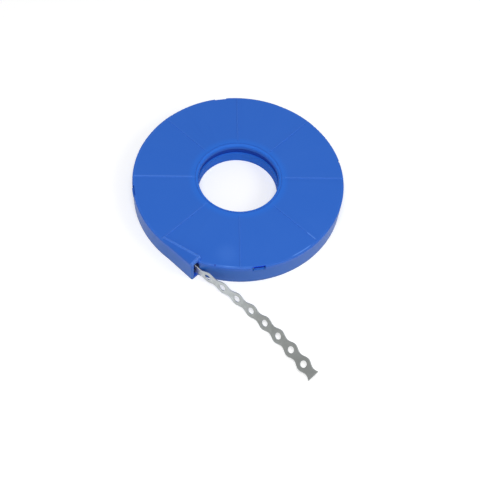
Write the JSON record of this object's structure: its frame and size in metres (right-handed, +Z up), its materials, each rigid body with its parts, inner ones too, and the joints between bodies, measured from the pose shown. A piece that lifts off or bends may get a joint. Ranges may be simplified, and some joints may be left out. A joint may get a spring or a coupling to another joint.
{
  "type": "perforated fixing strap roll in dispenser case",
  "caption": "Wavy-edged perforated steel fixing strap, coiled in a flat round plastic case with a side mouth for the free end.",
  "frame": {"origin": "centre of the hole through the case, at the case's underside", "axes": "+Z up along the case's axis, +X the way the strap leaves, its mouth on the -Y side"},
  "size_m": [0.2524, 0.18, 0.0256],
  "materials": {
    "case_plastic": "satin moulded blue plastic",
    "zinc_steel": "zinc coated, dull"
  },
  "bodies": {
    "case": {"case_tray": "case_plastic", "case_lid": "case_plastic"},
    "coil": {"strap_coil": "zinc_steel"},
    "strap": {"strap_end": "zinc_steel"}
  },
  "joints": [
    {"name": "coil_turn", "type": "hinge", "parent": "case", "child": "coil", "pos_m": [0, 0, 0], "axis": [0, 0, 1], "range_deg": [0, 9.8]},
    {"name": "strap_pull", "type": "slide", "parent": "case", "child": "strap", "axis": [0.9903, 0.1392, 0], "range_m": [0, 0.015]}
  ],
  "couplings": [
    {"joint": "strap_pull", "follows": "coil_turn", "m_per_rad": 0.0873}
  ]
}
